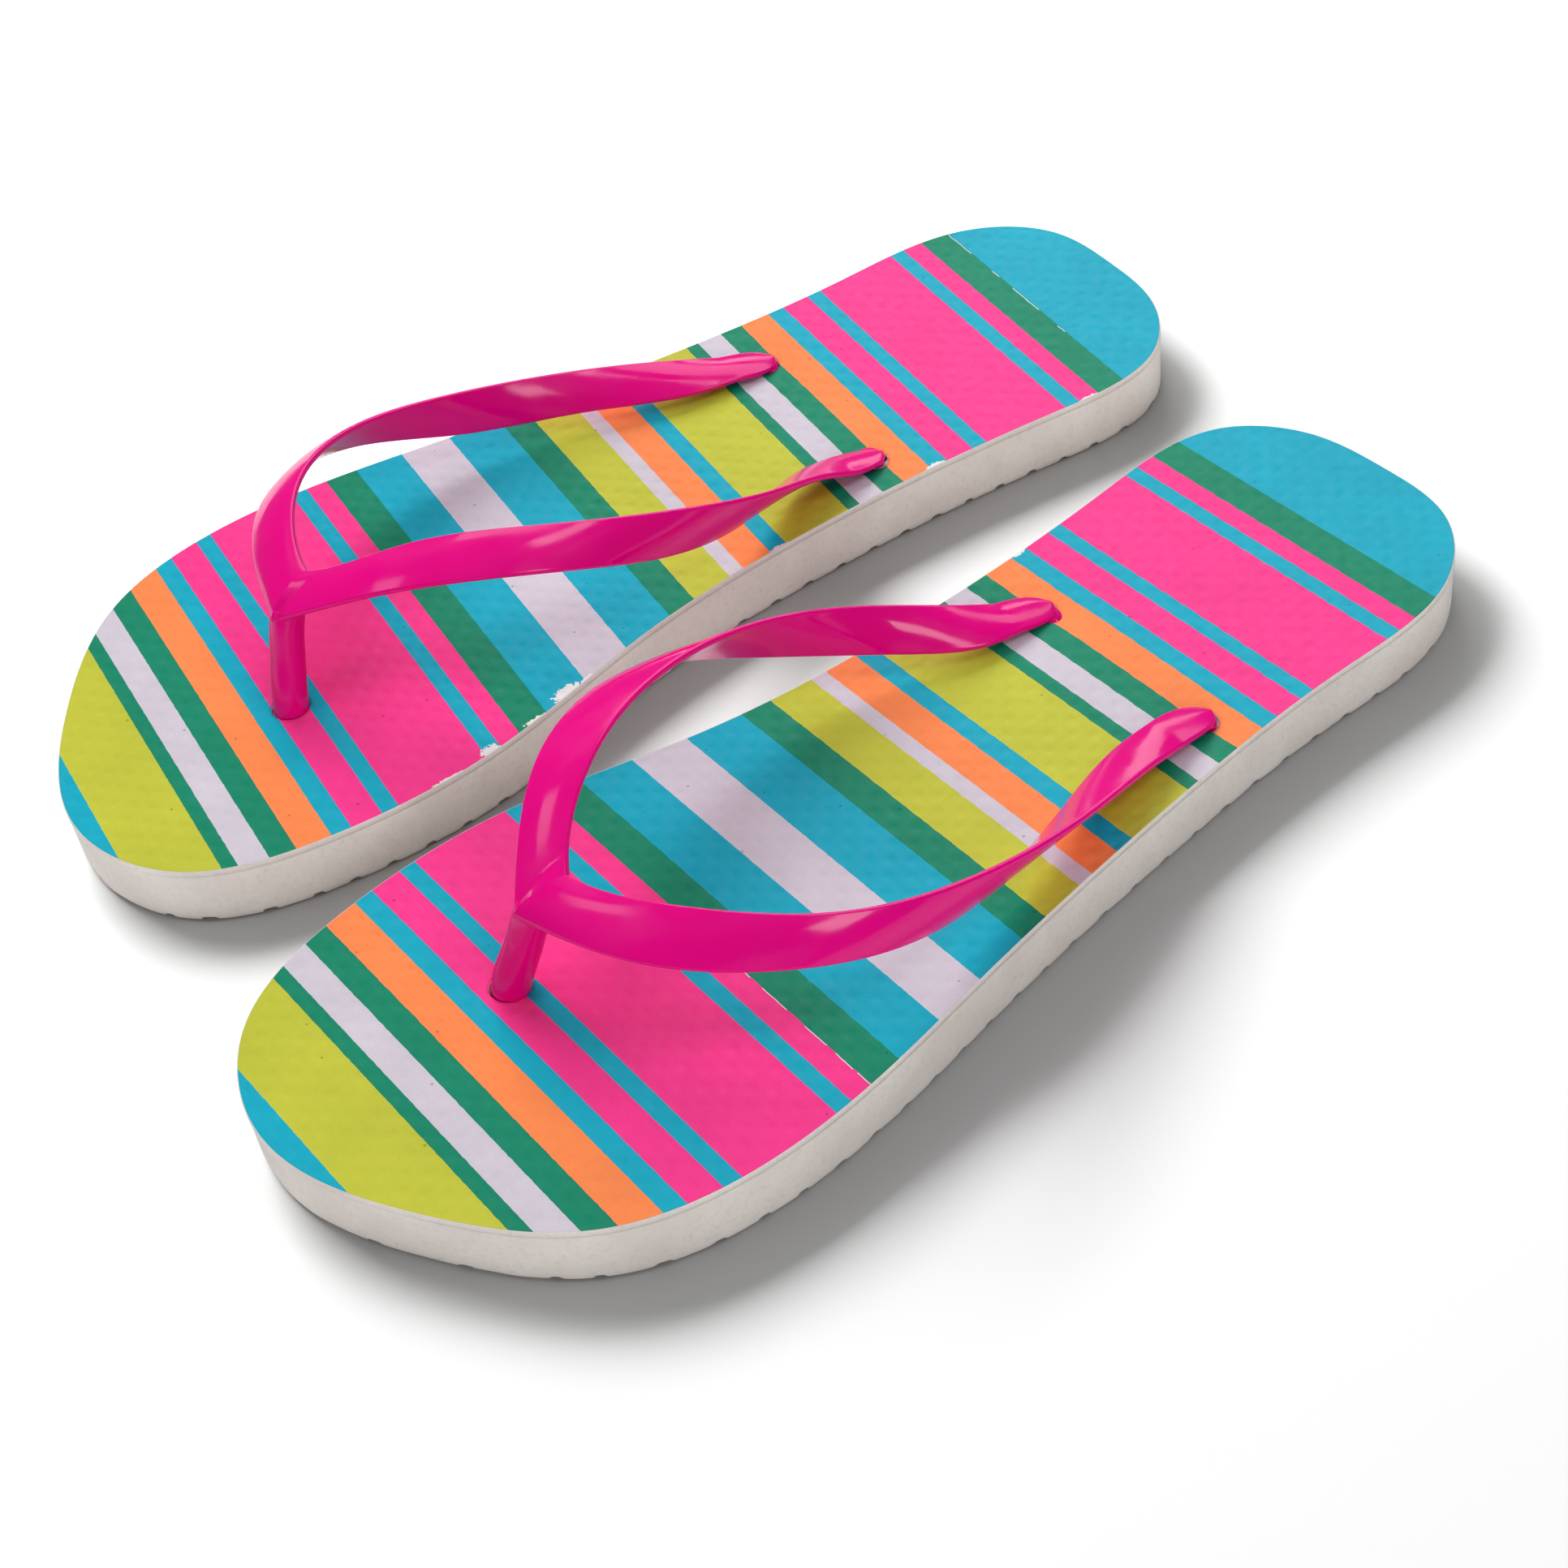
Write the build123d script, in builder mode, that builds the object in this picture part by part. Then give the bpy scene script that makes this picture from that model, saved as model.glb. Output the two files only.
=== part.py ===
from build123d import *
from math import cos, radians, sin
import os

os.makedirs("parts", exist_ok=True)

# A pair of flip-flops standing side by side, toes towards +Y, the wearer's right towards +X.
# Lengths are in millimetres and angles in degrees. Each shoe is drawn in its own frame: x runs
# towards the inner (big toe) side of the foot, y towards the toes and z up from the ground.

# Placing of the pair
half_stance = 52.9
stagger = 3.5
toe_out = 3.2
centring = 0.139

# Sole: a die-cut foam slab with a printed sheet laminated on top
foam_thickness = 12.5
sheet_thickness = 1.5
footbed = foam_thickness + sheet_thickness
outline = [
    (17, 126.5), (38.5, 116), (49, 88), (48.5, 53), (39, 16), (33.6, -30),
    (35, -85), (32, -115), (18, -125.5), (0, -127.5), (-18, -125), (-31, -112),
    (-34.5, -80), (-37, -32), (-43.5, 18), (-48.6, 60), (-40, 95.5), (-17, 115.5),
]

# Tread: zigzag grooves across the underside
groove_width = 2.0
groove_depth = 0.8
groove_pitch = 8.0
groove_count = 31
zigzag_height = 4.0
zigzag_step = 8.0
zigzag_turns = 14

# Strap: one moulding with a fork, two twisted ribbon arms, a toe post and three plugs
ribbon_thickness = 2.6
post_foot = (12.2, 78.2)
post_head = (6.9, 73.0, 20.0)
post_diameter = 6.5
rear_stem = (9.0, 4.6)
bend_height = 1.2
bend_section = (10.0, 3.4)
arm_steps = 16
plug_diameter = 16.0
plug_thickness = 2.6
plug_clearance = 0.5
recess_diameter = 17.0
post_hole = 8.5
rear_hole = (12.4, 6.6)

# Upper and lower edge of each arm, from the fork's notch and tip back to the arm's hole. Each
# point is its distance to the inner side, ahead, and above the footbed.
outer_arm = (
    [(6.1, 65.8, 24.5), (-14.8, 57.1, 26.5), (-30.1, 39.0, 22.6), (-36.0, 13.6, 15.6),
     (-33.5, -14.8, 8.5), (-29.2, -36.0, 3.4), (-27.6, -46.5, 2.6)],
    [(8.9, 75.5, 20.5), (-18.9, 65.5, 21.2), (-34.1, 42.0, 14.6), (-35.0, 15.9, 6.5),
     (-26.0, -11.7, 2.8), (-19.0, -35.5, 1.9), (-18.0, -46.5, 1.9)],
)
outer_hole = (-22.3, -51.3)
inner_arm = (
    [(6.1, 65.8, 24.5), (19.5, 49.0, 30.5), (29.8, 25.3, 28.6), (33.9, 0.1, 21.3),
     (30.6, -24.2, 11.2), (26.4, -40.0, 4.2), (24.0, -47.0, 2.6)],
    [(8.9, 75.5, 20.5), (28.7, 54.6, 28.3), (38.4, 27.8, 23.4), (35.4, 4.0, 12.6),
     (25.3, -20.5, 3.8), (17.2, -37.5, 1.9), (14.8, -46.5, 1.9)],
)
inner_hole = (19, -51.2)


def shoe_frame(hand):
    """The shoe's own frame: hand is +1 for the left shoe and -1 for the right one."""
    turn = radians(hand * toe_out)
    middle = (-hand * half_stance, hand * stagger + centring, 0)
    return Plane(origin=middle, x_dir=(cos(turn), sin(turn), 0))


def sole_outline(hand):
    """The closed outline of the sole, mirrored for the right shoe."""
    with BuildLine() as edge:
        Spline(*[(hand * x, y) for x, y in outline], periodic=True)
    return edge.line


def zigzag_groove(ahead):
    """One tread groove's outline across the whole width of the sole, centred on y = ahead."""
    rear = []
    for turn in range(zigzag_turns + 1):
        side = (turn - zigzag_turns / 2) * zigzag_step
        swing = zigzag_height / 2 if turn % 2 else -zigzag_height / 2
        rear.append((side, ahead + swing - groove_width / 2))
    front = [(side, y + groove_width) for side, y in reversed(rear)]
    with BuildLine() as edge:
        Polyline(*rear, *front, close=True)
    return edge.line


def arm_sections(arm, hole, outwards):
    """Section planes of one arm from the fork to its hole, as (plane, width, thickness).

    outwards is +1 for the inner arm, whose outside faces +x, and -1 for the outer arm.
    """
    with BuildLine() as upper:
        Spline(*arm[0])
    with BuildLine() as lower:
        Spline(*arm[1])
    sections = []
    for step in range(arm_steps + 1):
        here = step / arm_steps
        across = upper.line @ here - lower.line @ here
        along = upper.line % here + lower.line % here
        if step == 0:
            # both arms share the fork's section, so that they meet in a crease
            along = Vector(-across.Y, across.X, 0) * outwards
        along -= across * (along.dot(across) / across.dot(across))
        centre = (upper.line @ here + lower.line @ here) / 2
        plane = Plane(origin=centre, x_dir=across, z_dir=along)
        sections.append((plane, across.length, ribbon_thickness))

    # the end bends down into its hole
    bend = Vector(*hole, bend_height) + Vector(0, bend_height, 0)
    sideways = (outwards, 0, 0)
    sections.append((Plane(origin=bend, x_dir=sideways, z_dir=(0, -1, -1)), *bend_section))
    end = Plane(origin=(*hole, -sheet_thickness), x_dir=sideways, z_dir=(0, 0, -1))
    sections.append((end, *rear_stem))
    return sections


def placed(plane, hand, top):
    """The plane, or its mirror image for the right shoe, carried from the shoe's frame onto top."""
    origin, ahead, aside = (
        top.from_local_coords((hand * point.X, point.Y, point.Z))
        for point in (plane.origin, plane.origin + plane.z_dir, plane.origin + plane.x_dir)
    )
    return Plane(origin=origin, x_dir=aside - origin, z_dir=ahead - origin)


for name, hand in (("left", 1), ("right", -1)):
    ground = shoe_frame(hand)
    top = ground.offset(footbed)
    post_place = (hand * post_foot[0], post_foot[1])
    rear_places = [(hand * x, y) for x, y in (outer_hole, inner_hole)]

    # Foam sole, open above and below for the strap's stems and plugs
    with BuildPart() as sole:
        with BuildSketch(ground):
            make_face(sole_outline(hand))
        extrude(amount=foam_thickness)
        with BuildSketch(ground):
            for row in range(groove_count):
                make_face(zigzag_groove((row - groove_count // 2) * groove_pitch))
        extrude(amount=groove_depth, mode=Mode.SUBTRACT)
        with BuildSketch(ground):
            with Locations(post_place, *rear_places):
                Circle(recess_diameter / 2)
        extrude(amount=plug_clearance + plug_thickness, mode=Mode.SUBTRACT)
        with BuildSketch(ground):
            with Locations(post_place):
                Circle(post_diameter / 2)
            with Locations(*rear_places):
                SlotOverall(*rear_stem)
        extrude(amount=foam_thickness, mode=Mode.SUBTRACT)
    sole.part.label = f"{name}_foam_sole"
    export_step(sole.part, f"parts/{name}_foam_sole.step")

    # Printed footbed sheet, with holes a little wider than the strap's stems
    with BuildPart() as sheet:
        with BuildSketch(ground.offset(foam_thickness)):
            make_face(sole_outline(hand))
            with Locations(post_place):
                Circle(post_hole / 2, mode=Mode.SUBTRACT)
            with Locations(*rear_places):
                SlotOverall(*rear_hole, mode=Mode.SUBTRACT)
        extrude(amount=sheet_thickness)
    sheet.part.label = f"{name}_printed_footbed"
    export_step(sheet.part, f"parts/{name}_printed_footbed.step")

    # Strap: two lofted arms from the fork, the toe post, the stems and the plugs
    with BuildPart() as strap:
        for arm, hole, outwards in ((outer_arm, outer_hole, -1), (inner_arm, inner_hole, 1)):
            for plane, width, thickness in arm_sections(arm, hole, outwards):
                with BuildSketch(placed(plane, hand, top)):
                    SlotOverall(width, thickness)
            loft(ruled=True)
        foot = Vector(*post_foot, 0)
        lean = Vector(*post_head) - foot
        with BuildSketch(placed(Plane(origin=foot, z_dir=lean), hand, top)):
            Circle(post_diameter / 2)
        extrude(amount=lean.length)
        with Locations(top.location * Location((*post_place, 0))):
            Sphere(post_diameter / 2)
        with BuildSketch(ground.offset(plug_clearance)):
            with Locations(post_place):
                Circle(post_diameter / 2)
        extrude(amount=footbed - plug_clearance)
        with BuildSketch(ground.offset(plug_clearance)):
            with Locations(*rear_places):
                SlotOverall(*rear_stem)
        extrude(amount=foam_thickness - plug_clearance)
        with BuildSketch(ground.offset(plug_clearance)):
            with Locations(post_place, *rear_places):
                Circle(plug_diameter / 2)
        extrude(amount=plug_thickness)
    strap.part.label = f"{name}_strap"
    export_step(strap.part, f"parts/{name}_strap.step")
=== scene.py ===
"""A pair of striped flip-flops on a pale studio floor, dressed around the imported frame.

Shoes are drawn once in a shoe frame, in millimetres: x towards the inner (big toe) side, y towards
the toes and z up from the ground. The right shoe is the mirror image of the left one.
"""

from math import cos, pi, radians, sin

import bpy
import numpy as np
from mathutils import Matrix, Vector
from mathutils.geometry import delaunay_2d_cdt


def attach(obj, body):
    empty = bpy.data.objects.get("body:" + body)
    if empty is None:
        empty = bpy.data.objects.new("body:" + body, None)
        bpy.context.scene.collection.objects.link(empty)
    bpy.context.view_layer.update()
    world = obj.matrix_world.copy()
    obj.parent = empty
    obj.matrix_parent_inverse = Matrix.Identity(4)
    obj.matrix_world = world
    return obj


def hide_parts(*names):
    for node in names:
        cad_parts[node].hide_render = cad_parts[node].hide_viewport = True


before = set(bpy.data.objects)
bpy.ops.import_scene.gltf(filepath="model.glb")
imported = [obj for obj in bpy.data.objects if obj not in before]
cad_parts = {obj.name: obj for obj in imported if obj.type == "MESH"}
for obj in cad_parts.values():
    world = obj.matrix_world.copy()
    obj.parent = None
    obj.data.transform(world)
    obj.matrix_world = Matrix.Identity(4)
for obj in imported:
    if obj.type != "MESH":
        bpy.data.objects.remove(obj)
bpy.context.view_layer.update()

MM = 0.001

# Placing of the pair, as in the CAD model
HALF_STANCE = 52.9
STAGGER = 3.5
TOE_OUT = 3.2
CENTRING = 0.139
SHOES = {"left": 1, "right": -1}

# Sole
FOAM_TOP = 12.5
FOOTBED = 14.0
OUTLINE = [
    (17, 126.5), (38.5, 116), (49, 88), (48.5, 53), (39, 16), (33.6, -30),
    (35, -85), (32, -115), (18, -125.5), (0, -127.5), (-18, -125), (-31, -112),
    (-34.5, -80), (-37, -32), (-43.5, 18), (-48.6, 60), (-40, 95.5), (-17, 115.5),
]
RIM_STEPS = 960
POST_FOOT = (12.2, 78.2)
OUTER_HOLE = (-22.3, -51.3)
INNER_HOLE = (19.0, -51.2)
RECESS_RADIUS = 8.5
RECESS_DEPTH = 3.1

# Embossed dimples: a square lattice turned 45 degrees
DIMPLE_PITCH = (5.7, 5.5)
DIMPLE_RADIUS = 1.75
DIMPLE_DEPTH = 0.21

# Tread
GROOVE_WIDTH = 2.0
GROOVE_DEPTH = 0.8
GROOVE_PITCH = 8.0
ZIGZAG_HEIGHT = 4.0
ZIGZAG_STEP = 8.0

# Strap: upper and lower edge of each arm from the fork to its leaf, heights above the footbed.
# These points, the two leaf tips and the straps' seats are not drawn by hand: they are a least-squares fit of
# the edges to the photograph, averaged over both shoes and rounded.
OUTER_ARM = (
    [(5.9, 65.1, 22.9), (4.0, 64.9, 23.2), (-15.1, 57.1, 25.9), (-30.4, 39.0, 22.5), (-35.8, 13.6, 16.0),
     (-33.6, -14.8, 9.5), (-29.2, -34.0, 4.9), (-27.4, -42.5, 2.3)],
    [(8.9, 75.5, 17.7), (-19.2, 65.5, 20.5), (-35.0, 42.0, 15.7), (-34.2, 15.9, 7.0),
     (-26.6, -11.7, 4.0), (-19.3, -33.5, 2.3), (-18.4, -42.5, 1.8)],
)
INNER_ARM = (
    [(5.9, 65.1, 22.9), (7.5, 64.0, 23.6), (19.5, 49.0, 30.1), (29.8, 25.3, 29.0), (33.8, 0.1, 22.0),
     (30.2, -24.2, 11.9), (26.4, -36.5, 6.3), (25.4, -43.0, 2.9)],
    [(8.9, 75.5, 17.7), (28.7, 54.6, 27.9), (38.4, 27.8, 24.3), (35.7, 4.0, 13.5),
     (24.9, -20.5, 5.0), (17.4, -35.0, 2.5), (16.7, -43.0, 1.6)],
)
OUTER_TIP = (-22.6, -53.3)
INNER_TIP = (20.1, -53.2)
RIBBON_MIDDLE = 2.4
RIBBON_EDGE = 1.3
RIBBON_STEPS = 150
MITRE_ROOM = 1.3
RIDGE_LIFT = 1.0
RIDGE_REACH = 12.0
FACET_WIDTH = 4.4
TIP_TO_HOLE = 2.3
LEAF_STEPS = 26
LEAF_TIP_HEIGHT = -0.1
STEM_SIZE = (6.4, 4.2)
PLUG_RADIUS = 8.0
PLUG_TOP = 3.1
PLUG_BOTTOM = 0.5
POST_ROUTE = [
    (12.2, 78.2, -11.0), (12.2, 78.2, -3.0), (11.7, 77.7, 1.0), (9.8, 75.2, 9.0),
    (8.5, 73.0, 15.5), (8.0, 71.6, 18.6),
]
POST_RADII = [3.2, 3.5, 3.6, 3.45, 3.35, 3.3]

# Each strap sits a little askew on its sole: sideways per mm ahead of the pivot, and forwards
STRAP_SEAT = {"left": (0.026, -1.4), "right": (-0.026, 1.2)}
SEAT_PIVOT = 45.0


# ---------------------------------------------------------------- shapes

def closed_spline(points, count):
    """A smooth periodic cubic through the points, sampled at even chord-length steps."""
    points = np.array(points, float)
    ahead = np.roll(points, -1, axis=0)
    chord = np.linalg.norm(ahead - points, axis=1)
    n = len(points)
    system = np.zeros((n, n))
    target = np.zeros((n, 2))
    slope = (ahead - points) / chord[:, None]
    for i in range(n):
        system[i, i - 1] = chord[i - 1]
        system[i, i] = 2 * (chord[i - 1] + chord[i])
        system[i, (i + 1) % n] = chord[i]
        target[i] = 6 * (slope[i] - slope[i - 1])
    bend = np.linalg.solve(system, target)
    knots = np.concatenate([[0], np.cumsum(chord)])
    spots = np.arange(count) / count * knots[-1]
    piece = np.searchsorted(knots, spots, side="right") - 1
    h = chord[piece][:, None]
    t = (spots - knots[piece])[:, None]
    b0 = bend[piece]
    b1 = bend[(piece + 1) % n]
    p0 = points[piece]
    p1 = ahead[piece]
    curve = (
        b0 * (h - t) ** 3 / (6 * h) + b1 * t ** 3 / (6 * h)
        + (p0 / h - b0 * h / 6) * (h - t) + (p1 / h - b1 * h / 6) * t
    )
    return curve[::-1]


def open_spline(points, spots):
    """A natural cubic through the points at parameters from 0 to 1, spaced by chord length."""
    points = np.array(points, float)
    n = len(points)
    chord = np.linalg.norm(np.diff(points, axis=0), axis=1)
    knots = np.concatenate([[0], np.cumsum(chord)])
    knots /= knots[-1]
    h = np.diff(knots)
    system = np.eye(n)
    target = np.zeros((n, points.shape[1]))
    for i in range(1, n - 1):
        system[i, i - 1] = h[i - 1]
        system[i, i] = 2 * (h[i - 1] + h[i])
        system[i, i + 1] = h[i]
        target[i] = 6 * ((points[i + 1] - points[i]) / h[i] - (points[i] - points[i - 1]) / h[i - 1])
    bend = np.linalg.solve(system, target)
    piece = np.clip(np.searchsorted(knots, spots, side="right") - 1, 0, n - 2)
    w = h[piece][:, None]
    t = (spots - knots[piece])[:, None]
    b0, b1 = bend[piece], bend[piece + 1]
    p0, p1 = points[piece], points[piece + 1]
    return (
        b0 * (w - t) ** 3 / (6 * w) + b1 * t ** 3 / (6 * w)
        + (p0 / w - b0 * w / 6) * (w - t) + (p1 / w - b1 * w / 6) * t
    )


def outward(loop):
    """Unit normals pointing out of a counter-clockwise loop."""
    along = np.roll(loop, -1, axis=0) - np.roll(loop, 1, axis=0)
    normal = np.stack([along[:, 1], -along[:, 0]], axis=1)
    return normal / np.linalg.norm(normal, axis=1)[:, None]


def inside(points, loop):
    """Which of the points lie inside the loop."""
    hits = np.zeros(len(points), int)
    for (x0, y0), (x1, y1) in zip(loop, np.roll(loop, -1, axis=0)):
        if y0 == y1:
            continue
        low, high = min(y0, y1), max(y0, y1)
        rows = np.nonzero((points[:, 1] >= low) & (points[:, 1] < high))[0]
        cross = x0 + (points[rows, 1] - y0) * (x1 - x0) / (y1 - y0)
        hits[rows[points[rows, 0] < cross]] += 1
    return hits % 2 == 1


def ring(centre, half_x, half_y, count):
    """A counter-clockwise ellipse."""
    turn = np.arange(count) * 2 * pi / count
    return np.stack([centre[0] + half_x * np.cos(turn), centre[1] + half_y * np.sin(turn)], axis=1)


def area_mesh(outer, holes, spacing):
    """Points and triangles over the area inside outer and outside the holes.

    The points are the outer loop's, then each hole's, then a square grid at the spacing.
    """
    loops = [outer, *holes]
    extra = np.zeros((0, 2))
    if spacing:
        low, high = outer.min(axis=0), outer.max(axis=0)
        grid_x, grid_y = np.meshgrid(
            np.arange(low[0], high[0], spacing), np.arange(low[1], high[1], spacing)
        )
        extra = np.stack([grid_x.ravel(), grid_y.ravel()], axis=1)
        extra = extra[inside(extra, outer - outward(outer) * spacing * 0.6)]
        for hole in holes:
            extra = extra[~inside(extra, hole + outward(hole) * spacing * 0.6)]
    points = np.vstack([*loops, extra])
    edges = []
    start = 0
    for loop in loops:
        count = len(loop)
        edges += [(start + i, start + (i + 1) % count) for i in range(count)]
        start += count
    found = delaunay_2d_cdt([Vector(p) for p in points], edges, [], 0, 1e-7)
    origin = np.array([ids[0] for ids in found[3]])
    triangles = origin[np.array(found[2])]
    centre = points[triangles].mean(axis=1)
    keep = inside(centre, outer)
    for hole in holes:
        keep &= ~inside(centre, hole)
    return points, triangles[keep]


def smooth_wave(x, y, seed):
    """A gentle repeatable waviness between about -1 and 1."""
    draw = np.random.default_rng(seed)
    total = np.zeros_like(x)
    for _ in range(7):
        angle, phase = draw.uniform(0, 2 * pi, 2)
        length = draw.uniform(14, 46)
        total += np.sin((x * cos(angle) + y * sin(angle)) * 2 * pi / length + phase)
    return total / 4.0


def near(x, y, spot):
    return np.hypot(x - spot[0], y - spot[1])


def dimples(x, y):
    """How deep the emboss presses at each point."""
    deep = np.zeros_like(x)
    for shift in (0.0, 0.5):
        dx = (x / DIMPLE_PITCH[0] + shift + 0.5) % 1 - 0.5
        dy = (y / DIMPLE_PITCH[1] + shift + 0.5) % 1 - 0.5
        away = np.hypot(dx * DIMPLE_PITCH[0], dy * DIMPLE_PITCH[1]) / DIMPLE_RADIUS
        deep = np.maximum(deep, 0.5 + 0.5 * np.cos(pi * np.clip(away, 0, 1)))
    return deep * DIMPLE_DEPTH * (0.8 + 0.2 * smooth_wave(x, y, 3))


def footbed_sink(x, y, holes):
    """How far the footbed lies below its level: embossed, uneven and drawn down at the holes."""
    sink = 0.10 * (1 + smooth_wave(x, y, 11)) * 0.5 + dimples(x, y)
    for hole in holes:
        sink += 0.55 * np.exp(-(near(x, y, hole) / 6.0) ** 2)
    return sink


def tread_height(x, y):
    """The underside, with its zigzag grooves."""
    fold = np.abs(((x / ZIGZAG_STEP + 1) % 2) - 1) * ZIGZAG_HEIGHT - ZIGZAG_HEIGHT / 2
    off = (y - fold + GROOVE_PITCH / 2) % GROOVE_PITCH - GROOVE_PITCH / 2
    depth = np.clip((GROOVE_WIDTH / 2 + 0.25 - np.abs(off)) / 0.5, 0, 1)
    return GROOVE_DEPTH * depth * depth * (3 - 2 * depth)


def place(points, hand):
    """Shoe-frame millimetres to the object's frame in metres."""
    turn = radians(hand * TOE_OUT)
    x = hand * points[:, 0]
    y = points[:, 1]
    return np.stack([
        (x * cos(turn) - y * sin(turn) - hand * HALF_STANCE) * MM,
        (x * sin(turn) + y * cos(turn) + hand * STAGGER + CENTRING) * MM,
        points[:, 2] * MM,
    ], axis=1)


def make_piece(name, hand, points, faces, slots, materials, sharp=()):
    """A mesh piece from shoe-frame points, mirrored for the right shoe."""
    where = place(np.asarray(points, float), hand)
    if hand < 0:
        faces = [tuple(reversed(face)) for face in faces]
    mesh = bpy.data.meshes.new(name)
    mesh.from_pydata(where.tolist(), [], [tuple(map(int, face)) for face in faces])
    mesh.polygons.foreach_set("use_smooth", [True] * len(mesh.polygons))
    for material in materials:
        mesh.materials.append(material)
    mesh.polygons.foreach_set("material_index", slots)
    if len(sharp):
        marked = {frozenset(map(int, edge)) for edge in sharp}
        for edge in mesh.edges:
            if frozenset(edge.vertices) in marked:
                edge.use_edge_sharp = True
    mesh.update()
    piece = bpy.data.objects.new(name, mesh)
    bpy.context.scene.collection.objects.link(piece)
    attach(piece, "left_shoe" if hand > 0 else "right_shoe")
    return piece


class Shell:
    """Gathers points and faces, one ring or patch at a time."""

    def __init__(self):
        self.points = []
        self.faces = []
        self.slots = []

    def add(self, points):
        first = len(self.points)
        self.points.extend(map(tuple, points))
        return np.arange(first, len(self.points))

    def patch(self, ids, triangles, slot=0, flip=False):
        for triangle in triangles:
            face = ids[triangle]
            self.faces.append(tuple(face[::-1]) if flip else tuple(face))
            self.slots.append(slot)

    def bridge(self, low, high, slot=0, closed=True):
        """Quads between two loops that run the same way, facing right of the loop's run."""
        count = len(low)
        for i in range(count if closed else count - 1):
            j = (i + 1) % count
            self.faces.append((low[i], low[j], high[j], high[i]))
            self.slots.append(slot)

    def cap(self, loop, flip):
        """A fan over the end of a tube."""
        middle = self.add([np.array(self.points)[loop].mean(axis=0)])[0]
        for i, start in enumerate(loop):
            face = (start, loop[(i + 1) % len(loop)], middle)
            self.faces.append(face[::-1] if flip else face)
            self.slots.append(0)


rim = closed_spline(OUTLINE, RIM_STEPS)
if np.cross(rim[1] - rim[0], rim[2] - rim[1]) < 0:
    rim = rim[::-1]
rim_out = outward(rim)


def with_z(flat, z):
    return np.column_stack([flat, np.broadcast_to(z, len(flat))])


def seated(points, name, share=1.0):
    """Points of the strap, or of its holes, moved to where this shoe's strap sits."""
    turn, ahead = STRAP_SEAT[name]
    points = np.array(points, float)
    points[:, 0] += share * turn * (points[:, 1] - SEAT_PIVOT)
    points[:, 1] += share * ahead
    return points


# Footbed sheet: embossed top, softly rounded edge, and the walls of the strap's holes
SHEET_EDGE = [(0.4, 0.0), (0.2, 0.03), (0.06, 0.12), (0.0, 0.3)]
POST_SLOT = (3.8, 3.8)
LEAF_SLOT = (3.6, 2.9)
SHEET_SPACING = 0.5


def sheet_shell(name):
    shell = Shell()
    spots = seated([POST_FOOT, OUTER_TIP, INNER_TIP], name)
    spots[1:, 1] += TIP_TO_HOLE
    slots = (POST_SLOT, LEAF_SLOT, LEAF_SLOT)
    holes = [ring(spot, *size, 72) for spot, size in zip(spots, slots)]
    top_loop = rim - rim_out * SHEET_EDGE[0][0]
    flat, triangles = area_mesh(top_loop, holes, SHEET_SPACING)
    edge_fade = np.ones(len(flat))
    edge_fade[:RIM_STEPS] = 0
    sink = footbed_sink(flat[:, 0], flat[:, 1], spots) * edge_fade
    ids = shell.add(np.column_stack([flat, FOOTBED - sink]))
    shell.patch(ids, triangles)
    upper = ids[:RIM_STEPS]
    for index, (inset, drop) in enumerate(SHEET_EDGE[1:]):
        lower = shell.add(with_z(rim - rim_out * inset, FOOTBED - drop))
        shell.bridge(lower, upper, min(index, 1))
        upper = lower
    lower = shell.add(with_z(rim, FOAM_TOP))
    shell.bridge(lower, upper, 1)
    floor_ids = [lower]
    start = RIM_STEPS
    for hole in holes:
        lip = ids[start:start + len(hole)]
        start += len(hole)
        foot = shell.add(with_z(hole, FOAM_TOP))
        shell.bridge(lip, foot, 1)
        floor_ids.append(foot)
    _, under = area_mesh(rim, holes, 0)
    shell.patch(np.concatenate(floor_ids), under, 1, flip=True)
    return shell


# Foam sole: wall with soft unevenness, rounded lower edge, tread and plug recesses
SOLE_WALL = [
    (0.0, 12.5), (0.05, 12.3), (0.0, 11.9), (0.0, 11.0), (0.0, 10.0), (0.0, 9.0), (0.0, 8.0),
    (0.0, 7.0), (0.0, 6.0), (0.0, 5.0), (0.0, 4.0), (0.0, 3.0), (0.0, 2.2), (0.04, 1.6),
    (0.14, 1.1), (0.34, 0.65), (0.62, 0.3), (1.0, 0.08), (1.5, 0.0),
]
RECESSES = [ring(spot, RECESS_RADIUS, RECESS_RADIUS, 96) for spot in (POST_FOOT, OUTER_HOLE, INNER_HOLE)]
STEM_HOLES = [
    ring(POST_FOOT, 3.6, 3.6, 48),
    ring(OUTER_HOLE, 4.8, 2.9, 48),
    ring(INNER_HOLE, 4.8, 2.9, 48),
]


TREAD_SPACING = 0.7
LIP_CHAMFER = 0.3
TREAD_FADE = 2.0


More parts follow.
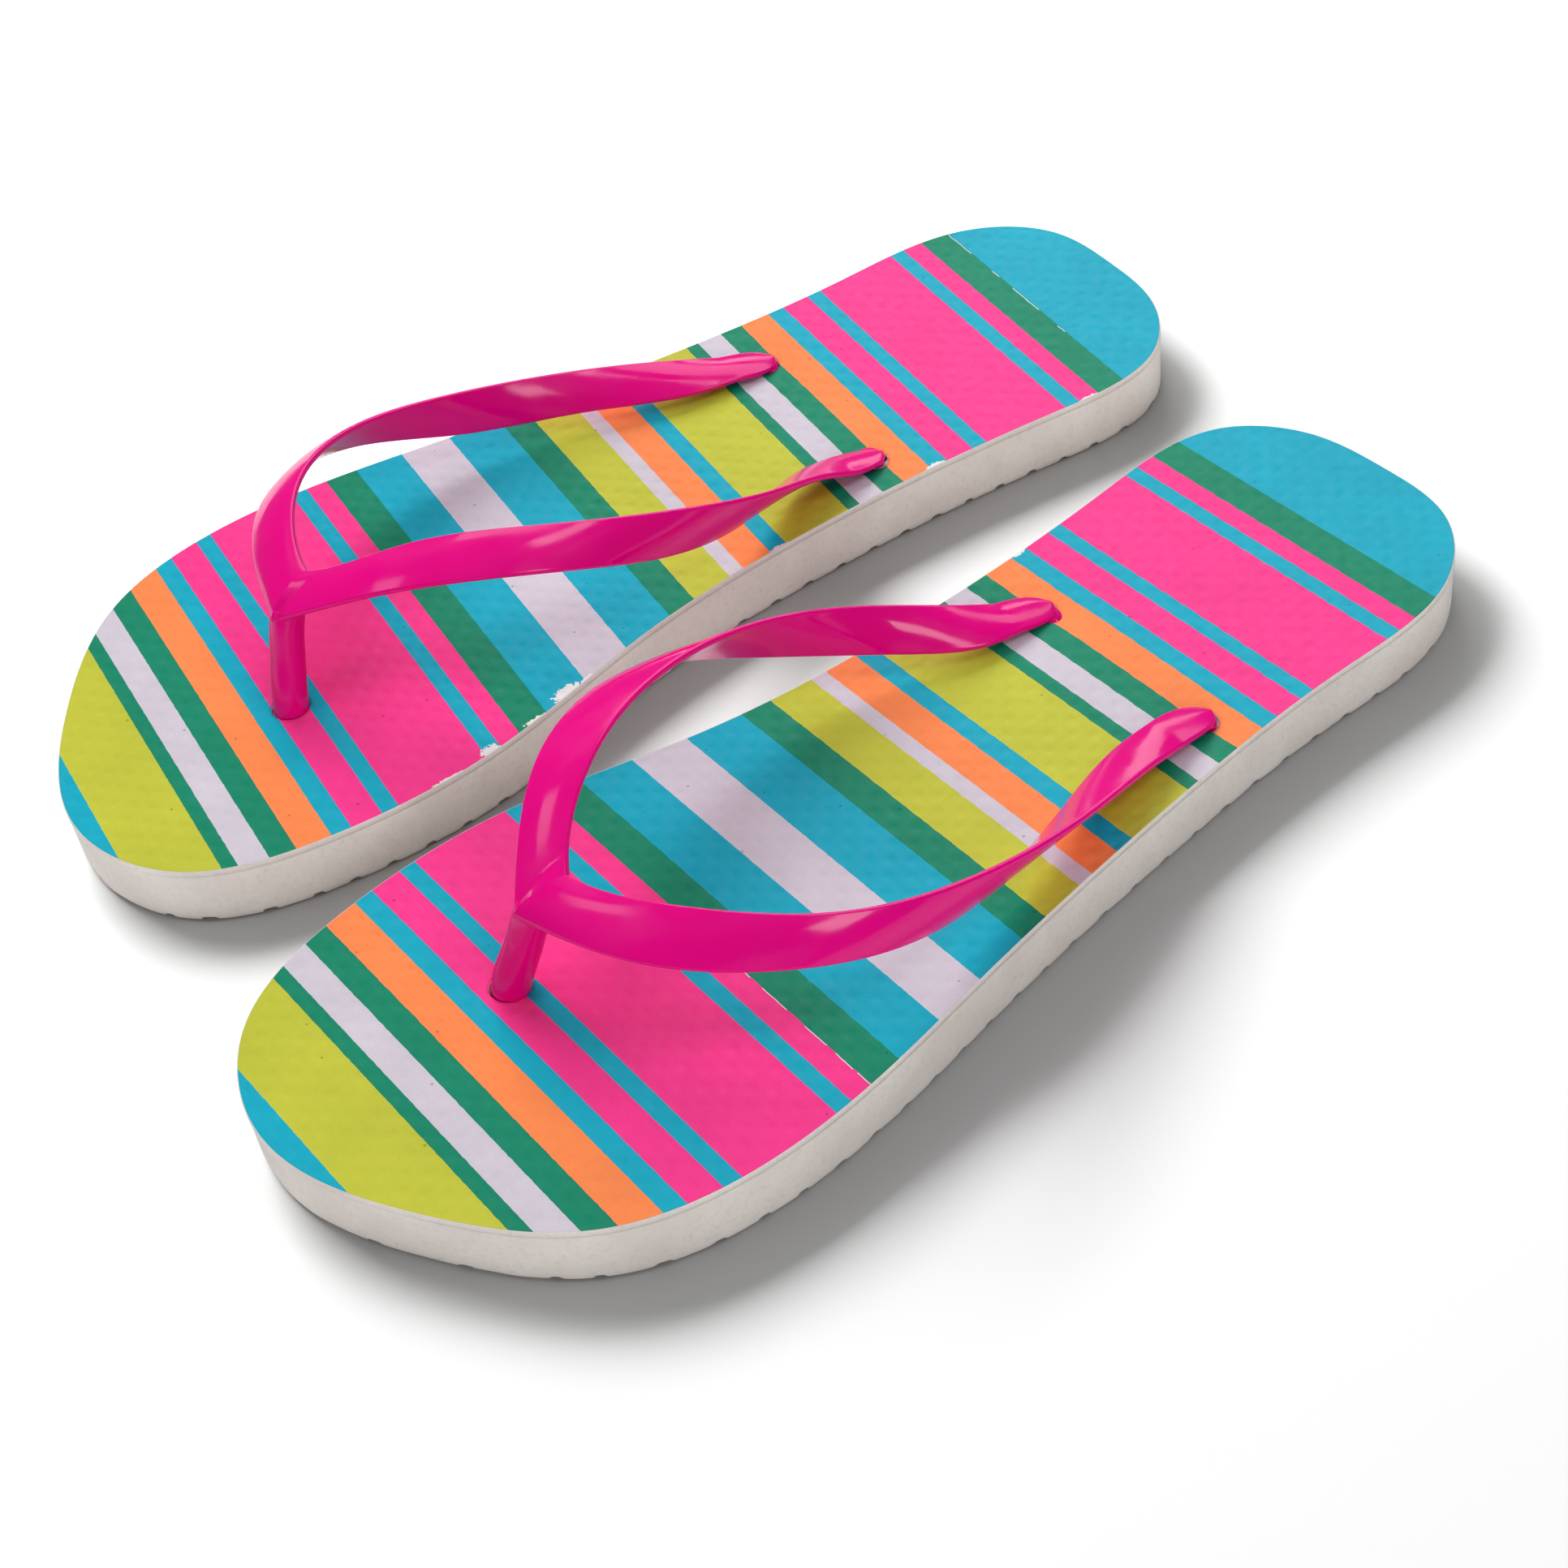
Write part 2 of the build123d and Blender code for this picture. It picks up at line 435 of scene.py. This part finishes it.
def sole_shell():
    shell = Shell()
    around = np.arange(RIM_STEPS) / RIM_STEPS * 2 * pi
    draw = np.random.default_rng(5)
    waves = [(draw.integers(9, 70), draw.uniform(0, 2 * pi), draw.uniform(-0.5, 0.5)) for _ in range(14)]
    rings = []
    for inset, z in SOLE_WALL:
        wave = sum(np.sin(around * k + phase + z * lean) for k, phase, lean in waves) / 14
        fade = min(1.0, (FOAM_TOP - z) / TREAD_FADE)
        shift = inset + fade * (0.10 + 0.16 * wave)
        rise = 0.0
        if z < TREAD_FADE:
            notch = tread_height(rim[:, 0], rim[:, 1])
            rise = notch * (1 - z / TREAD_FADE)
        rings.append(shell.add(with_z(rim - rim_out * np.atleast_1d(shift)[:, None], z + rise)))
    for upper, lower in zip(rings[:-1], rings[1:]):
        shell.bridge(lower, upper)
    # underside
    flat_loop = np.array(shell.points)[rings[-1]][:, :2]
    wide = [edge + outward(edge) * LIP_CHAMFER for edge in RECESSES]
    flat, triangles = area_mesh(flat_loop, wide, TREAD_SPACING)
    height = tread_height(flat[:, 0], flat[:, 1])
    start = RIM_STEPS
    for hole in wide:
        height[start:start + len(hole)] = 0
        start += len(hole)
    ids = np.concatenate([rings[-1], shell.add(np.column_stack([flat, height])[RIM_STEPS:])])
    shell.patch(ids, triangles, flip=True)
    start = RIM_STEPS
    tops = [with_z(rim, FOAM_TOP)]
    top_ids = [rings[0]]
    for hole, edge, stem in zip(wide, RECESSES, STEM_HOLES):
        mouth = ids[start:start + len(hole)]
        start += len(hole)
        lip = shell.add(with_z(edge, LIP_CHAMFER))
        back = shell.add(with_z(edge, RECESS_DEPTH))
        shell.bridge(lip, mouth)
        shell.bridge(back, lip)
        bore = shell.add(with_z(stem, RECESS_DEPTH))
        _, cover = area_mesh(edge, [stem], 0)
        shell.patch(np.concatenate([back, bore]), cover, flip=True)
        bore_top = shell.add(with_z(stem, FOAM_TOP))
        shell.bridge(bore_top, bore)
        tops.append(stem)
        top_ids.append(bore_top)
    _, cover = area_mesh(np.array(shell.points)[rings[0]][:, :2], STEM_HOLES, 0)
    shell.patch(np.concatenate(top_ids), cover)
    return shell


# ---------------------------------------------------------------- strap

def section_loop(width, middle, edge):
    """A crowned bar section as (across, out) pairs: thick in the middle, thin and round at its edges."""
    corner = min(edge, width) / 2 * 0.98
    reach = width / 2 - corner
    spots = np.linspace(1, -1, 15)
    top = np.column_stack([reach * spots, edge / 2 + (middle - edge) / 2 * (1 - spots ** 2)])
    turn = np.linspace(pi / 2, 3 * pi / 2, 9)[1:-1]
    end = np.column_stack([-reach + corner * np.cos(turn), edge / 2 * np.sin(turn)])
    return np.vstack([top, end, -top, -end])


def unit(v):
    return v / np.linalg.norm(v, axis=-1, keepdims=True)


def crest(loop, width):
    """How much of the ridge's lift each point of a section takes: its top, less at both ends."""
    return (loop[:, 1] > 0) * (1 - 0.8 * (2 * loop[:, 0] / width) ** 4)


def arm_rings(edges, tip, outwards):
    """Section loops of one arm, from the fork to the leaf's tip, in shoe-frame millimetres."""
    spots = np.linspace(0, 1, RIBBON_STEPS) ** 1.25
    upper = open_spline(edges[0], spots)
    lower = open_spline(edges[1], spots)
    centre = (upper + lower) / 2
    along = unit(np.gradient(centre, axis=0))
    across = unit(upper - lower)
    width = np.linalg.norm(upper - lower, axis=1)
    out = unit(np.cross(across, along)) * outwards
    run = np.concatenate([[0], np.cumsum(np.linalg.norm(np.diff(centre, axis=0), axis=1))])
    rings = []
    for i in np.nonzero(run > MITRE_ROOM)[0]:
        loop = section_loop(width[i], RIBBON_MIDDLE, RIBBON_EDGE)
        if outwards < 0:
            # the outer arm rises gently to the ridge
            rise = np.exp(-(run[i] / RIDGE_REACH) ** 2)
        else:
            # the inner arm meets it across a wedge-shaped facet, widest at the notch
            rise = np.clip(1 - run[i] / (0.6 + FACET_WIDTH * (0.5 + loop[:, 0] / width[i])), 0, 1)
        loop[:, 1] += RIDGE_LIFT * rise * crest(loop, width[i])
        rings.append(centre[i] + across[i] * loop[:, :1] + out[i] * loop[:, 1:])
    # the end flattens into a rounded leaf whose tip tucks into the hole
    last, side = centre[-1], across[-1]
    tip = np.array([*tip, LEAF_TIP_HEIGHT])
    reach = np.linalg.norm(tip - last)
    bend = tip - last - along[-1] * reach
    for t in np.sin(np.linspace(0, pi / 2, LEAF_STEPS + 1)[1:]) * 0.995:
        middle = last + along[-1] * reach * t + bend * t * t
        face = unit(np.cross(side, along[-1] * reach + 2 * bend * t)) * outwards
        loop = section_loop(
            width[-1] * (1 - t ** 3) ** 0.5,
            RIBBON_MIDDLE * (1 - 0.45 * t ** 2), RIBBON_EDGE * (1 - 0.4 * t ** 2),
        )
        rings.append(middle + side * loop[:, :1] + face * loop[:, 1:])
    return [points + [0, 0, FOOTBED] for points in rings]


def tube(shell, rings):
    """A closed tube through section loops that all have as many points."""
    loops = [shell.add(points) for points in rings]
    for low, high in zip(loops[:-1], loops[1:]):
        shell.bridge(low, high)
    shell.cap(loops[0], True)
    shell.cap(loops[-1], False)


def lathe(shell, centre, profile, count=96):
    """A turned shape about the vertical, from (radius, height) pairs; first and last radius are 0."""
    rings = []
    for radius, z in profile[1:-1]:
        rings.append(shell.add(with_z(ring(centre, radius, radius, count), z)))
    ends = [shell.add([(centre[0], centre[1], z)])[0] for z in (profile[0][1], profile[-1][1])]
    for low, high in zip(rings[:-1], rings[1:]):
        shell.bridge(low, high)
    for i in range(count):
        j = (i + 1) % count
        shell.faces.append((ends[0], rings[0][j], rings[0][i]))
        shell.faces.append((ends[1], rings[-1][i], rings[-1][j]))
        shell.slots += [0, 0]


def fork_section():
    """The section that both arms share, along the crease from the notch to the tip."""
    notch, tip = np.array(OUTER_ARM[0][0]), np.array(OUTER_ARM[1][0])
    leave = [
        unit(open_spline(arm[0], [0.04])[0] + open_spline(arm[1], [0.04])[0] - notch - tip)
        for arm in (OUTER_ARM, INNER_ARM)
    ]
    across = unit(notch - tip)
    out = unit(np.cross(across, leave[1] - leave[0]))
    width = np.linalg.norm(notch - tip)
    loop = section_loop(width, RIBBON_MIDDLE, RIBBON_EDGE)
    loop[:, 1] += RIDGE_LIFT * crest(loop, width)
    return (notch + tip) / 2 + across * loop[:, :1] + out * loop[:, 1:] + [0, 0, FOOTBED]


def strap_shell(name):
    """The whole strap, and the edges of its crease."""
    shell = Shell()
    crease = shell.add(fork_section())
    for edges, tip, outwards in ((OUTER_ARM, OUTER_TIP, -1), (INNER_ARM, INNER_TIP, 1)):
        loops = [crease, *map(shell.add, arm_rings(edges, tip, outwards))]
        if outwards > 0:
            loops = loops[::-1]
        for low, high in zip(loops[:-1], loops[1:]):
            shell.bridge(low, high)
        shell.cap(loops[0] if outwards > 0 else loops[-1], outwards > 0)
    post(shell)
    for hole in (OUTER_HOLE, INNER_HOLE):
        stem = ring(hole, STEM_SIZE[0] / 2, STEM_SIZE[1] / 2, 48)
        tube(shell, [with_z(stem, z) for z in (PLUG_TOP - 0.2, 8.0, FOOTBED - 1.2, FOOTBED - 0.4)])
    for spot in (POST_FOOT, OUTER_HOLE, INNER_HOLE):
        lathe(shell, spot, [
            (0, PLUG_BOTTOM), (5.5, PLUG_BOTTOM), (6.9, PLUG_BOTTOM + 0.06), (7.6, PLUG_BOTTOM + 0.35),
            (PLUG_RADIUS, PLUG_BOTTOM + 0.9), (PLUG_RADIUS, PLUG_TOP - 0.3),
            (PLUG_RADIUS - 0.3, PLUG_TOP), (0, PLUG_TOP),
        ])
    points = np.array(shell.points)
    # the plugs stay in their recesses and the stems lean inside the foam
    share = np.clip((points[:, 2] - PLUG_TOP) / (FOAM_TOP - PLUG_TOP), 0, 1)
    shell.points = seated(points, name, share)
    return shell, list(zip(crease, np.roll(crease, -1)))


def post(shell, count=64, steps=70):
    """The toe post, a little thicker at its foot, buried in the fork and in its plug."""
    spots = np.linspace(0, 1, steps)
    route = open_spline(POST_ROUTE, spots)
    along = unit(np.gradient(route, axis=0))
    radii = np.interp(spots, np.linspace(0, 1, len(POST_RADII)), POST_RADII)
    turn = np.arange(count) * 2 * pi / count
    rings = []
    for centre, way, radius in zip(route, along, radii):
        side = unit(np.cross([0, 1, 0], way))
        front = np.cross(way, side)
        points = centre + radius * (np.cos(turn)[:, None] * side + np.sin(turn)[:, None] * front)
        rings.append(points + [0, 0, FOOTBED])
    tube(shell, rings)


# ---------------------------------------------------------------- materials

def linear(red, green, blue):
    """A display colour of 0 to 255 as scene-linear RGBA."""
    values = []
    for channel in (red, green, blue):
        c = channel / 255
        values.append(c / 12.92 if c <= 0.04045 else ((c + 0.055) / 1.055) ** 2.4)
    return (*values, 1.0)


INKS = {
    "turquoise": linear(8, 168, 194),
    "lime": linear(194, 196, 60),
    "green": linear(10, 134, 102),
    "white": linear(208, 200, 212),
    "orange": linear(252, 138, 78),
    "pink": linear(250, 56, 144),
}

# The print's stripes from toe to heel, in mm; they repeat once along the sole. The widths were
# scaled and rounded from stripe edges that a scratch camera fit gave.
STRIPES = [
    ("lime", 15.0), ("green", 2.9), ("white", 5.7), ("green", 5.0), ("orange", 6.4),
    ("turquoise", 4.4), ("pink", 5.9), ("turquoise", 3.4), ("pink", 19.5), ("turquoise", 3.4),
    ("pink", 4.4), ("green", 6.7), ("turquoise", 10.2), ("white", 10.9), ("turquoise", 11.3),
    ("green", 6.0), ("lime", 9.0), ("white", 3.5), ("orange", 6.7), ("turquoise", 4.2),
]
STRIPES_START = 121.8
STRIPES_LENGTH = sum(width for _, width in STRIPES)
PRINT_ENDS = (-115.0, 125.0)
STRIPE_TILT = {"left": 0.0, "right": 0.042}
PRINT_GAPS = {"left": (45.7, -12.0), "right": (-105.5, 14.0)}


class Nodes:
    """Short calls for building a node tree."""

    def __init__(self, name):
        self.material = bpy.data.materials.new(name)
        self.material.use_nodes = True
        self.tree = self.material.node_tree
        self.shader = self.tree.nodes["Principled BSDF"]

    def add(self, kind, inputs=(), **settings):
        node = self.tree.nodes.new(kind)
        for key, value in settings.items():
            setattr(node, key, value)
        for key, value in dict(inputs).items():
            self.put(node.inputs[key], value)
        return node

    def put(self, socket, value):
        if isinstance(value, bpy.types.NodeSocket):
            self.tree.links.new(value, socket)
        else:
            socket.default_value = value

    def sum(self, operation, a, b=None, c=None):
        node = self.tree.nodes.new("ShaderNodeMath")
        node.operation = operation
        for socket, value in zip(node.inputs, (a, b, c)):
            if value is not None:
                self.put(socket, value)
        return node.outputs[0]

    def mix(self, factor, a, b, blend="MIX"):
        node = self.tree.nodes.new("ShaderNodeMix")
        node.data_type = "RGBA"
        node.blend_type = blend
        self.put(node.inputs["Factor"], factor)
        self.put(node.inputs["A"], a)
        self.put(node.inputs["B"], b)
        return node.outputs["Result"]

    def noise(self, vector, scale, detail=2.0, roughness=0.5):
        return self.add("ShaderNodeTexNoise", {
            "Vector": vector, "Scale": scale, "Detail": detail, "Roughness": roughness,
        }).outputs["Fac"]

    def span(self, value, low, high, to_low=0.0, to_high=1.0):
        return self.add("ShaderNodeMapRange", {
            "Value": value, "From Min": low, "From Max": high, "To Min": to_low, "To Max": to_high,
        }).outputs["Result"]

    def bump(self, height, distance, strength, normal=None):
        inputs = {"Height": height, "Distance": distance, "Strength": strength}
        if normal is not None:
            inputs["Normal"] = normal
        return self.add("ShaderNodeBump", inputs).outputs["Normal"]

    def set(self, **values):
        for key, value in values.items():
            self.put(self.shader.inputs[key.replace("_", " ")], value)


def print_material(name, hand):
    n = Nodes(f"{name}_printed_stripes")
    place_in = n.add("ShaderNodeTexCoord").outputs["Object"]
    local = n.add("ShaderNodeMapping", {
        "Vector": place_in,
        "Location": (-hand * HALF_STANCE * MM, (hand * STAGGER + CENTRING) * MM, 0),
        "Rotation": (0, 0, radians(hand * TOE_OUT)),
        "Scale": (hand * MM, MM, MM),
    }, vector_type="TEXTURE").outputs["Vector"]
    split = n.add("ShaderNodeSeparateXYZ", {"Vector": local})
    x, y = split.outputs["X"], split.outputs["Y"]
    down = n.sum("SUBTRACT", y, n.sum("MULTIPLY", x, STRIPE_TILT[name]))
    # screen-printed edges waver slightly
    waver = n.sum("MULTIPLY", n.sum("SUBTRACT", n.noise(local, 0.8, 2.0), 0.5), 0.24)
    down = n.sum("ADD", down, waver)
    kept = n.sum("MINIMUM", n.sum("MAXIMUM", down, PRINT_ENDS[0]), PRINT_ENDS[1])
    turns = n.sum("ADD", n.sum("DIVIDE", n.sum("SUBTRACT", STRIPES_START, kept), STRIPES_LENGTH), 1.0)
    ramp = n.add("ShaderNodeValToRGB", {"Fac": n.sum("FRACT", turns)})
    ramp.color_ramp.interpolation = "CONSTANT"
    stops = ramp.color_ramp.elements
    stops.remove(stops[1])
    place_at = 0.0
    for index, (ink, width) in enumerate(STRIPES):
        stop = stops[0] if index == 0 else stops.new(place_at / STRIPES_LENGTH)
        stop.color = INKS[ink]
        place_at += width
    colour = ramp.outputs["Color"]
    # a hairline of bare sheet where two inks miss each other
    gap_at, gap_side = PRINT_GAPS[name]
    miss = n.sum("LESS_THAN", n.sum("ABSOLUTE", n.sum("SUBTRACT", down, gap_at)), 0.08)
    miss = n.sum("MULTIPLY", miss, n.sum("GREATER_THAN", n.noise(local, 0.2, 1.0), 0.48))
    miss = n.sum("MULTIPLY", miss, n.sum("LESS_THAN", x, gap_side))
    bare = linear(232, 228, 228)
    colour = n.mix(miss, colour, bare)
    # uneven ink and small dark specks
    cloud = n.span(n.noise(local, 0.07, 4.0, 0.6), 0.3, 0.7, 0.94, 1.05)
    fine = n.span(n.noise(local, 2.2, 3.0, 0.7), 0.25, 0.75, 0.96, 1.03)
    shade = n.sum("MULTIPLY", cloud, fine)
    grey = {"Red": shade, "Green": shade, "Blue": shade}
    shade_rgb = n.add("ShaderNodeCombineColor", grey).outputs["Color"]
    colour = n.mix(1.0, colour, shade_rgb, "MULTIPLY")
    speck = n.add("ShaderNodeTexVoronoi", {"Vector": local, "Scale": 0.16, "Randomness": 1.0})
    dots = n.sum("LESS_THAN", speck.outputs["Distance"], 0.05)
    dark = n.mix(1.0, colour, (0.45, 0.42, 0.45, 1.0), "MULTIPLY")
    colour = n.mix(n.sum("MULTIPLY", dots, 0.6), colour, dark)
    chips = n.add("ShaderNodeAttribute", attribute_name="chips").outputs["Fac"]
    ragged = n.sum("ADD", chips, n.sum("MULTIPLY", n.sum("SUBTRACT", n.noise(local, 1.6, 4.0), 0.5), 1.5))
    chipped = n.span(ragged, 0.47, 0.53)
    colour = n.mix(chipped, colour, bare)
    normal = n.bump(n.noise(local, 1.6, 3.0, 0.65), 0.00012, 0.35)
    n.set(Base_Color=colour, Roughness=n.span(n.noise(local, 0.5, 3.0), 0.3, 0.7, 0.46, 0.6), Normal=normal)
    n.shader.inputs["Specular IOR Level"].default_value = 0.2
    return n.material


def foam_material():
    n = Nodes("closed_cell_foam")
    place_in = n.add("ShaderNodeTexCoord").outputs["Object"]
    base = n.span(n.noise(place_in, 60, 4.0, 0.6), 0.3, 0.7)
    colour = n.mix(base, linear(220, 211, 205), linear(235, 228, 222))
    mottled = n.noise(place_in, 900, 3.0, 0.6)
    colour = n.mix(n.span(mottled, 0.52, 0.72, 0.0, 0.35), colour, linear(200, 193, 191))
    # pores are bumped in as small pits, and the darker colour laid into them is painted shade inside the pits
    pores = n.add("ShaderNodeTexVoronoi", {"Vector": place_in, "Scale": 420.0, "Randomness": 1.0})
    pit = n.span(pores.outputs["Distance"], 0.08, 0.2, 1.0, 0.0)
    pit = n.sum("MULTIPLY", pit, n.sum("GREATER_THAN", n.noise(place_in, 300, 1.0), 0.7))
    colour = n.mix(n.sum("MULTIPLY", pit, 0.22), colour, linear(170, 165, 162))
    height = n.sum("SUBTRACT", n.sum("MULTIPLY", n.noise(place_in, 700, 4.0, 0.7), 0.6), pit)
    normal = n.bump(height, 0.00015, 0.45)
    n.set(Base_Color=colour, Roughness=n.span(mottled, 0.3, 0.7, 0.72, 0.9), Normal=normal)
    n.shader.inputs["Specular IOR Level"].default_value = 0.3
    return n.material


def strap_material():
    n = Nodes("glossy_moulded_strap")
    place_in = n.add("ShaderNodeTexCoord").outputs["Object"]
    base = n.span(n.noise(place_in, 45, 3.0), 0.3, 0.7)
    colour = n.mix(base, linear(231, 0, 129), linear(238, 0, 134))
    smear = n.span(n.noise(place_in, 110, 4.0, 0.65), 0.35, 0.65, 0.08, 0.2)
    wavy = n.sum("ADD", n.noise(place_in, 40, 2.0), n.sum("MULTIPLY", n.noise(place_in, 170, 3.0), 0.12))
    normal = n.bump(wavy, 0.0007, 0.4)
    n.set(Base_Color=colour, Roughness=smear, Normal=normal)
    n.shader.inputs["Specular IOR Level"].default_value = 0.26
    return n.material


# ---------------------------------------------------------------- the pair

# Chips in the print along the sole's inner edge: place along the sole, length, depth, in mm
CHIPS = {
    "left": [(-60, 3, 0.8)],
    "right": [
        (63.0, 9.0, 0.5), (54.0, 4.6, 2.1), (43.0, 5.5, 0.9), (34.6, 7.0, 2.4), (29.5, 2.5, 0.8),
        (-19.8, 4.5, 0.9), (-57.7, 4.5, 1.2), (-95.0, 5.0, 0.7),
    ],
}


def chip_values(name, points):
    """1 where the print has come off at the inner edge, fading over a fraction of a millimetre."""
    points = np.asarray(points, float)
    value = np.zeros(len(points))
    for ahead, length, depth in CHIPS[name]:
        close = np.nonzero((np.abs(points[:, 1] - ahead) < length) & (points[:, 0] > 0))[0]
        spot = rim[np.argmin(np.hypot(rim[:, 1] - ahead, np.where(rim[:, 0] > 0, 0, 999)))]
        off = np.hypot((points[close, 1] - spot[1]) / (length / 2), (points[close, 0] - spot[0]) / depth)
        value[close] = np.maximum(value[close], np.clip(1.5 - off, 0, 1))
    return value


foam = foam_material()
strap_plastic = strap_material()
sole = sole_shell()

for name, hand in SHOES.items():
    stripes = print_material(name, hand)
    sheet = sheet_shell(name)
    piece = make_piece(f"{name}_printed_sheet", hand, sheet.points, sheet.faces, sheet.slots, [stripes, foam])
    chips = piece.data.attributes.new("chips", "FLOAT", "POINT")
    chips.data.foreach_set("value", chip_values(name, sheet.points))
    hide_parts(f"{name}_printed_footbed")

    piece = make_piece(f"{name}_sole", hand, sole.points, sole.faces, sole.slots, [foam])
    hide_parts(f"{name}_foam_sole")

    strap, crease = strap_shell(name)
    piece = make_piece(
        f"{name}_toe_strap", hand, strap.points, strap.faces, strap.slots, [strap_plastic], crease,
    )
    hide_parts(f"{name}_strap")


# ---------------------------------------------------------------- studio

def studio_material(name, colour):
    n = Nodes(name)
    soft = n.span(n.noise(n.add("ShaderNodeTexCoord").outputs["Object"], 3.0, 3.0), 0.3, 0.7, 0.5, 0.6)
    n.set(Base_Color=colour, Roughness=soft)
    n.shader.inputs["Specular IOR Level"].default_value = 0.1
    return n.material


bpy.ops.mesh.primitive_plane_add(size=12)
floor = bpy.context.object
floor.name = "studio_floor"
floor.data.materials.append(studio_material("pale_floor", linear(168, 168, 168)))


def area_light(name, place_at, size, power, mirrored, only=None):
    """A softbox aimed at the pair. A mirrored one shows in the gloss only, the others light it only.

    Only, where given, is the single object that the light reaches.
    """
    data = bpy.data.lights.new(name, "AREA")
    data.shape = "RECTANGLE"
    data.size, data.size_y = size
    data.energy = power
    light = bpy.data.objects.new(name, data)
    light.location = place_at
    light.rotation_euler = (-Vector(place_at)).to_track_quat("-Z", "Y").to_euler()
    light.visible_glossy = mirrored
    light.visible_diffuse = not mirrored
    if only:
        receivers = bpy.data.collections.new(name)
        receivers.objects.link(only)
        light.light_linking.receiver_collection = receivers
    bpy.context.scene.collection.objects.link(light)


area_light("overhead_softbox", (0.25, 0.05, 1.5), (1.5, 1.5), 3.9, mirrored=False)
area_light("back_softbox", (1.06, -0.32, 0.93), (1.1, 0.9), 17.0, mirrored=False)
area_light("left_softbox", (0.4, 0.75, 1.0), (0.7, 0.7), 2.2, mirrored=False)
area_light("right_softbox", (-0.53, -0.44, 1.1), (0.5, 0.5), 3.2, mirrored=False)
area_light("front_fill", (-1.0, 0.5, 0.4), (0.9, 0.6), 4.6, mirrored=False)
area_light("floor_key", (1.03, 0.1, 1.03), (0.7, 0.7), 56.0, mirrored=False, only=floor)
area_light("heel_window", (0.64, -0.82, 0.99), (1.2, 0.6), 6.6, mirrored=True)
area_light("low_window", (1.01, -0.91, 0.5), (0.6, 0.25), 1.5, mirrored=True)
area_light("top_window", (0.06, -0.68, 1.28), (0.3, 0.25), 1.7, mirrored=True)
area_light("side_window", (-1.02, -0.33, 0.97), (0.3, 0.45), 3.4, mirrored=True)
area_light("toe_window", (0.66, 0.55, 1.14), (0.3, 0.3), 0.9, mirrored=True)

world = bpy.data.worlds.new("studio_world")
world.use_nodes = True
background = world.node_tree.nodes["Background"]
background.inputs["Color"].default_value = (1, 1, 1, 1)
background.inputs["Strength"].default_value = 0.13
bpy.context.scene.world = world
bpy.context.scene.view_settings.view_transform = "Standard"

camera_data = bpy.data.cameras.new("camera")
camera_data.lens = 62.76
camera_data.sensor_width = 36
camera = bpy.data.objects.new("camera", camera_data)
# the camera was matched to the photograph by a scratch fit
towards = Vector((-0.621, 0.340, 0.707)).normalized()
right = Vector((-0.577, -0.808, -0.118))
right = (right - towards * right.dot(towards)).normalized()
up = towards.cross(right)
stand = Matrix.Translation((-0.3471, 0.1869, 0.3672))
camera.matrix_world = stand @ Matrix((right, up, towards)).transposed().to_4x4()
bpy.context.scene.collection.objects.link(camera)
bpy.context.scene.camera = camera

bpy.context.view_layer.update()
